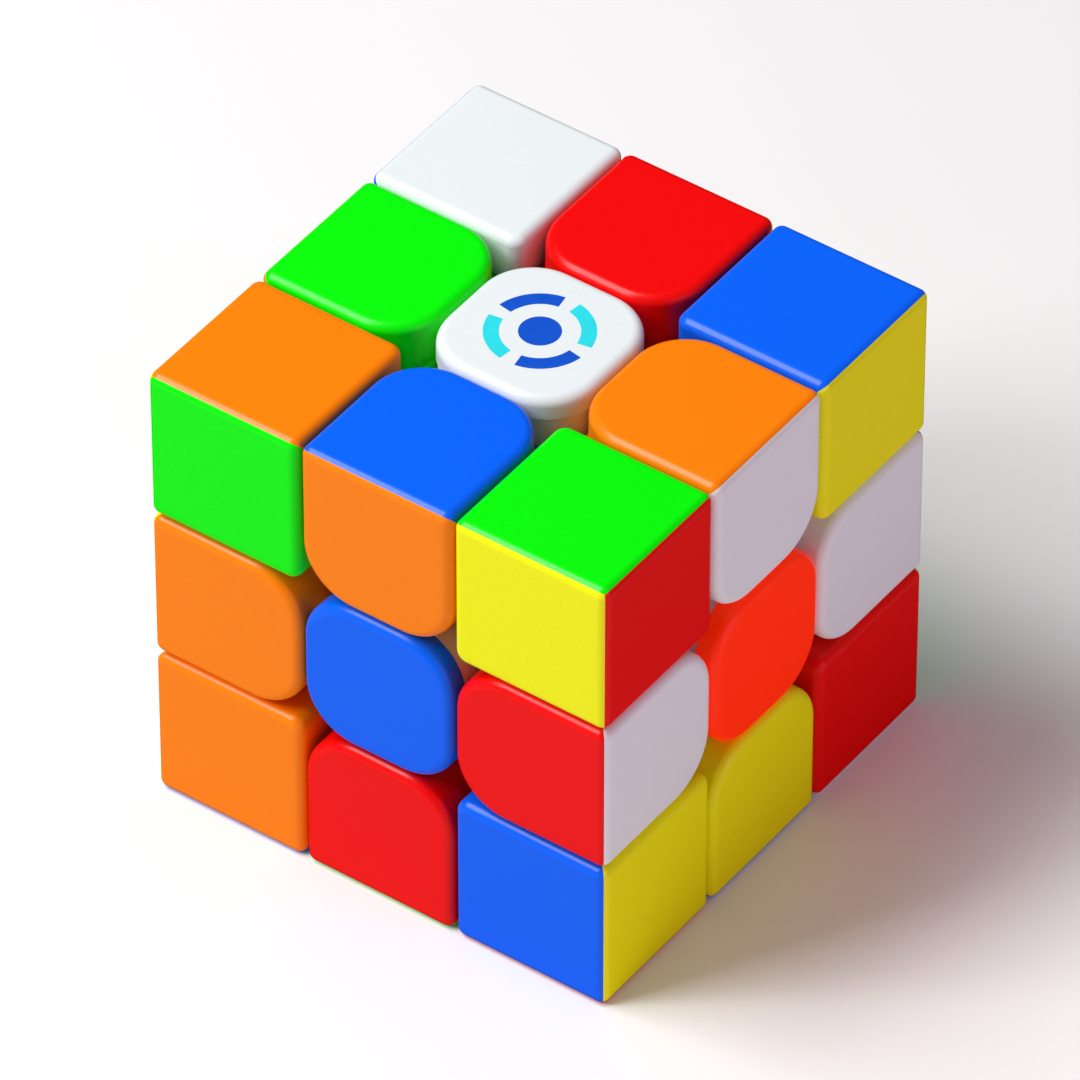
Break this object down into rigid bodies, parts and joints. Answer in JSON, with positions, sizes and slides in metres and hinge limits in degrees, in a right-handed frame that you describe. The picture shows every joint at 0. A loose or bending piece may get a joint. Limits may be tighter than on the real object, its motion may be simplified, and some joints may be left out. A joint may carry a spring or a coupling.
{
  "type": "twisty puzzle cube",
  "caption": "Stickerless twisty puzzle cube whose faces turn on a ball core, with clip-on centre caps over sprung tension screws.",
  "frame": {"origin": "centre of the ball core, which is the centre of the cube", "axes": "+Z out of the up face, +X out of the right face, -Y out of the front face"},
  "size_m": [0.056, 0.056, 0.056],
  "materials": {
    "white_plastic": "satin moulded, coloured through",
    "yellow_plastic": "satin moulded, coloured through",
    "red_plastic": "satin moulded, coloured through",
    "orange_plastic": "satin moulded, coloured through",
    "deep_orange_plastic": "satin moulded, coloured through",
    "blue_plastic": "satin moulded, coloured through",
    "green_plastic": "satin moulded, coloured through",
    "inner_plastic": "plain moulded, off-white",
    "brass": "turned",
    "steel": "zinc plated"
  },
  "bodies": {
    "core": {"core": "inner_plastic", "core_inserts": "brass"},
    "centre_up": {"centre_base_up": "inner_plastic"},
    "cap_up": {"centre_cap_up": "white_plastic"},
    "seat_up": {"spring_seat_up": "steel", "spring_up": "steel"},
    "screw_up": {"tension_screw_up": "steel"},
    "centre_down": {"centre_base_down": "inner_plastic"},
    "cap_down": {"centre_cap_down": "yellow_plastic"},
    "seat_down": {"spring_seat_down": "steel", "spring_down": "steel"},
    "screw_down": {"tension_screw_down": "steel"},
    "centre_front": {"centre_base_front": "inner_plastic"},
    "cap_front": {"centre_cap_front": "blue_plastic"},
    "seat_front": {"spring_seat_front": "steel", "spring_front": "steel"},
    "screw_front": {"tension_screw_front": "steel"},
    "centre_back": {"centre_base_back": "inner_plastic"},
    "cap_back": {"centre_cap_back": "green_plastic"},
    "seat_back": {"spring_seat_back": "steel", "spring_back": "steel"},
    "screw_back": {"tension_screw_back": "steel"},
    "centre_right": {"centre_base_right": "inner_plastic"},
    "cap_right": {"centre_cap_right": "deep_orange_plastic"},
    "seat_right": {"spring_seat_right": "steel", "spring_right": "steel"},
    "screw_right": {"tension_screw_right": "steel"},
    "centre_left": {"centre_base_left": "inner_plastic"},
    "cap_left": {"centre_cap_left": "red_plastic"},
    "seat_left": {"spring_seat_left": "steel", "spring_left": "steel"},
    "screw_left": {"tension_screw_left": "steel"},
    "edge_up_front": {"edge_up_front": "blue_plastic"},
    "edge_up_back": {"edge_up_back": "red_plastic"},
    "edge_up_right": {"edge_up_right": "orange_plastic"},
    "edge_up_left": {"edge_up_left": "green_plastic"},
    "edge_down_front": {"edge_down_front": "green_plastic"},
    "edge_down_back": {"edge_down_back": "green_plastic"},
    "edge_down_right": {"edge_down_right": "blue_plastic"},
    "edge_down_left": {"edge_down_left": "red_plastic"},
    "edge_front_right": {"edge_front_right": "red_plastic"},
    "edge_front_left": {"edge_front_left": "orange_plastic"},
    "edge_back_right": {"edge_back_right": "blue_plastic"},
    "edge_back_left": {"edge_back_left": "white_plastic"},
    "corner_up_front_right": {"corner_up_front_right": "green_plastic", "corner_foot_up_front_right": "inner_plastic"},
    "corner_up_front_left": {"corner_up_front_left": "orange_plastic", "corner_foot_up_front_left": "inner_plastic"},
    "corner_up_back_right": {"corner_up_back_right": "blue_plastic", "corner_foot_up_back_right": "inner_plastic"},
    "corner_up_back_left": {"corner_up_back_left": "white_plastic", "corner_foot_up_back_left": "inner_plastic"},
    "corner_down_front_right": {"corner_down_front_right": "red_plastic", "corner_foot_down_front_right": "inner_plastic"},
    "corner_down_front_left": {"corner_down_front_left": "blue_plastic", "corner_foot_down_front_left": "inner_plastic"},
    "corner_down_back_right": {"corner_down_back_right": "white_plastic", "corner_foot_down_back_right": "inner_plastic"},
    "corner_down_back_left": {"corner_down_back_left": "white_plastic", "corner_foot_down_back_left": "inner_plastic"}
  },
  "joints": [
    {"name": "up_turn", "type": "hinge", "parent": "core", "child": "centre_up", "pos_m": [0, 0, 0], "axis": [0, 0, 1], "continuous": true},
    {"name": "up_cap_pull", "type": "slide", "parent": "centre_up", "child": "cap_up", "axis": [0, 0, 1], "range_m": [0, 0.012]},
    {"name": "up_spring_travel", "type": "slide", "parent": "core", "child": "seat_up", "axis": [0, 0, 1], "range_m": [-0.00045, 0.00045], "deforming": ["spring_up"]},
    {"name": "up_tension_turn", "type": "hinge", "parent": "seat_up", "child": "screw_up", "pos_m": [0, 0, 0], "axis": [0, 0, 1], "range_deg": [-360, 360]},
    {"name": "down_turn", "type": "hinge", "parent": "core", "child": "centre_down", "pos_m": [0, 0, 0], "axis": [0, 0, 1], "continuous": true},
    {"name": "down_cap_pull", "type": "slide", "parent": "centre_down", "child": "cap_down", "axis": [0, 0, -1], "range_m": [0, 0.012]},
    {"name": "down_spring_travel", "type": "slide", "parent": "core", "child": "seat_down", "axis": [0, 0, -1], "range_m": [-0.00045, 0.00045], "deforming": ["spring_down"]},
    {"name": "down_tension_turn", "type": "hinge", "parent": "seat_down", "child": "screw_down", "pos_m": [0, 0, 0], "axis": [0, 0, -1], "range_deg": [-360, 360]},
    {"name": "front_turn", "type": "hinge", "parent": "core", "child": "centre_front", "pos_m": [0, 0, 0], "axis": [0, 1, 0], "continuous": true},
    {"name": "front_cap_pull", "type": "slide", "parent": "centre_front", "child": "cap_front", "axis": [0, -1, 0], "range_m": [0, 0.012]},
    {"name": "front_spring_travel", "type": "slide", "parent": "core", "child": "seat_front", "axis": [0, -1, 0], "range_m": [-0.00045, 0.00045], "deforming": ["spring_front"]},
    {"name": "front_tension_turn", "type": "hinge", "parent": "seat_front", "child": "screw_front", "pos_m": [0, 0, 0], "axis": [0, -1, 0], "range_deg": [-360, 360]},
    {"name": "back_turn", "type": "hinge", "parent": "core", "child": "centre_back", "pos_m": [0, 0, 0], "axis": [0, 1, 0], "continuous": true},
    {"name": "back_cap_pull", "type": "slide", "parent": "centre_back", "child": "cap_back", "axis": [0, 1, 0], "range_m": [0, 0.012]},
    {"name": "back_spring_travel", "type": "slide", "parent": "core", "child": "seat_back", "axis": [0, 1, 0], "range_m": [-0.00045, 0.00045], "deforming": ["spring_back"]},
    {"name": "back_tension_turn", "type": "hinge", "parent": "seat_back", "child": "screw_back", "pos_m": [0, 0, 0], "axis": [0, 1, 0], "range_deg": [-360, 360]},
    {"name": "right_turn", "type": "hinge", "parent": "core", "child": "centre_right", "pos_m": [0, 0, 0], "axis": [1, 0, 0], "continuous": true},
    {"name": "right_cap_pull", "type": "slide", "parent": "centre_right", "child": "cap_right", "axis": [1, 0, 0], "range_m": [0, 0.012]},
    {"name": "right_spring_travel", "type": "slide", "parent": "core", "child": "seat_right", "axis": [1, 0, 0], "range_m": [-0.00045, 0.00045], "deforming": ["spring_right"]},
    {"name": "right_tension_turn", "type": "hinge", "parent": "seat_right", "child": "screw_right", "pos_m": [0, 0, 0], "axis": [1, 0, 0], "range_deg": [-360, 360]},
    {"name": "left_turn", "type": "hinge", "parent": "core", "child": "centre_left", "pos_m": [0, 0, 0], "axis": [1, 0, 0], "continuous": true},
    {"name": "left_cap_pull", "type": "slide", "parent": "centre_left", "child": "cap_left", "axis": [-1, 0, 0], "range_m": [0, 0.012]},
    {"name": "left_spring_travel", "type": "slide", "parent": "core", "child": "seat_left", "axis": [-1, 0, 0], "range_m": [-0.00045, 0.00045], "deforming": ["spring_left"]},
    {"name": "left_tension_turn", "type": "hinge", "parent": "seat_left", "child": "screw_left", "pos_m": [0, 0, 0], "axis": [-1, 0, 0], "range_deg": [-360, 360]},
    {"name": "edge_up_front_with_up", "type": "hinge", "parent": "centre_front", "child": "edge_up_front", "pos_m": [0, 0, 0], "axis": [0, 0, 1], "continuous": true},
    {"name": "edge_up_back_with_up", "type": "hinge", "parent": "centre_back", "child": "edge_up_back", "pos_m": [0, 0, 0], "axis": [0, 0, 1], "continuous": true},
    {"name": "edge_up_right_with_right", "type": "hinge", "parent": "centre_up", "child": "edge_up_right", "pos_m": [0, 0, 0], "axis": [1, 0, 0], "continuous": true},
    {"name": "edge_up_left_with_left", "type": "hinge", "parent": "centre_up", "child": "edge_up_left", "pos_m": [0, 0, 0], "axis": [1, 0, 0], "continuous": true},
    {"name": "edge_down_front_with_down", "type": "hinge", "parent": "centre_front", "child": "edge_down_front", "pos_m": [0, 0, 0], "axis": [0, 0, 1], "continuous": true},
    {"name": "edge_down_back_with_down", "type": "hinge", "parent": "centre_back", "child": "edge_down_back", "pos_m": [0, 0, 0], "axis": [0, 0, 1], "continuous": true},
    {"name": "edge_down_right_with_right", "type": "hinge", "parent": "centre_down", "child": "edge_down_right", "pos_m": [0, 0, 0], "axis": [1, 0, 0], "continuous": true},
    {"name": "edge_down_left_with_left", "type": "hinge", "parent": "centre_down", "child": "edge_down_left", "pos_m": [0, 0, 0], "axis": [1, 0, 0], "continuous": true},
    {"name": "edge_front_right_with_front", "type": "hinge", "parent": "centre_right", "child": "edge_front_right", "pos_m": [0, 0, 0], "axis": [0, 1, 0], "continuous": true},
    {"name": "edge_front_left_with_front", "type": "hinge", "parent": "centre_left", "child": "edge_front_left", "pos_m": [0, 0, 0], "axis": [0, 1, 0], "continuous": true},
    {"name": "edge_back_right_with_back", "type": "hinge", "parent": "centre_right", "child": "edge_back_right", "pos_m": [0, 0, 0], "axis": [0, 1, 0], "continuous": true},
    {"name": "edge_back_left_with_back", "type": "hinge", "parent": "centre_left", "child": "edge_back_left", "pos_m": [0, 0, 0], "axis": [0, 1, 0], "continuous": true},
    {"name": "corner_up_front_right_with_right", "type": "hinge", "parent": "edge_up_front", "child": "corner_up_front_right", "pos_m": [0, 0, 0], "axis": [1, 0, 0], "continuous": true},
    {"name": "corner_up_front_left_with_left", "type": "hinge", "parent": "edge_up_front", "child": "corner_up_front_left", "pos_m": [0, 0, 0], "axis": [1, 0, 0], "continuous": true},
    {"name": "corner_up_back_right_with_right", "type": "hinge", "parent": "edge_up_back", "child": "corner_up_back_right", "pos_m": [0, 0, 0], "axis": [1, 0, 0], "continuous": true},
    {"name": "corner_up_back_left_with_left", "type": "hinge", "parent": "edge_up_back", "child": "corner_up_back_left", "pos_m": [0, 0, 0], "axis": [1, 0, 0], "continuous": true},
    {"name": "corner_down_front_right_with_right", "type": "hinge", "parent": "edge_down_front", "child": "corner_down_front_right", "pos_m": [0, 0, 0], "axis": [1, 0, 0], "continuous": true},
    {"name": "corner_down_front_left_with_left", "type": "hinge", "parent": "edge_down_front", "child": "corner_down_front_left", "pos_m": [0, 0, 0], "axis": [1, 0, 0], "continuous": true},
    {"name": "corner_down_back_right_with_right", "type": "hinge", "parent": "edge_down_back", "child": "corner_down_back_right", "pos_m": [0, 0, 0], "axis": [1, 0, 0], "continuous": true},
    {"name": "corner_down_back_left_with_left", "type": "hinge", "parent": "edge_down_back", "child": "corner_down_back_left", "pos_m": [0, 0, 0], "axis": [1, 0, 0], "continuous": true}
  ],
  "couplings": [
    {"joint": "up_tension_turn", "follows": "up_spring_travel", "rad_per_m": 13963},
    {"joint": "down_tension_turn", "follows": "down_spring_travel", "rad_per_m": 13963},
    {"joint": "front_tension_turn", "follows": "front_spring_travel", "rad_per_m": 13963},
    {"joint": "back_tension_turn", "follows": "back_spring_travel", "rad_per_m": 13963},
    {"joint": "right_tension_turn", "follows": "right_spring_travel", "rad_per_m": 13963},
    {"joint": "left_tension_turn", "follows": "left_spring_travel", "rad_per_m": 13963},
    {"joint": "edge_up_front_with_up", "follows": "up_turn", "ratio": 1},
    {"joint": "edge_up_back_with_up", "follows": "up_turn", "ratio": 1},
    {"joint": "edge_up_right_with_right", "follows": "right_turn", "ratio": 1},
    {"joint": "edge_up_left_with_left", "follows": "left_turn", "ratio": 1},
    {"joint": "edge_down_front_with_down", "follows": "down_turn", "ratio": 1},
    {"joint": "edge_down_back_with_down", "follows": "down_turn", "ratio": 1},
    {"joint": "edge_down_right_with_right", "follows": "right_turn", "ratio": 1},
    {"joint": "edge_down_left_with_left", "follows": "left_turn", "ratio": 1},
    {"joint": "edge_front_right_with_front", "follows": "front_turn", "ratio": 1},
    {"joint": "edge_front_left_with_front", "follows": "front_turn", "ratio": 1},
    {"joint": "edge_back_right_with_back", "follows": "back_turn", "ratio": 1},
    {"joint": "edge_back_left_with_back", "follows": "back_turn", "ratio": 1},
    {"joint": "corner_up_front_right_with_right", "follows": "right_turn", "ratio": 1},
    {"joint": "corner_up_front_left_with_left", "follows": "left_turn", "ratio": 1},
    {"joint": "corner_up_back_right_with_right", "follows": "right_turn", "ratio": 1},
    {"joint": "corner_up_back_left_with_left", "follows": "left_turn", "ratio": 1},
    {"joint": "corner_down_front_right_with_right", "follows": "right_turn", "ratio": 1},
    {"joint": "corner_down_front_left_with_left", "follows": "left_turn", "ratio": 1},
    {"joint": "corner_down_back_right_with_right", "follows": "right_turn", "ratio": 1},
    {"joint": "corner_down_back_left_with_left", "follows": "left_turn", "ratio": 1}
  ]
}
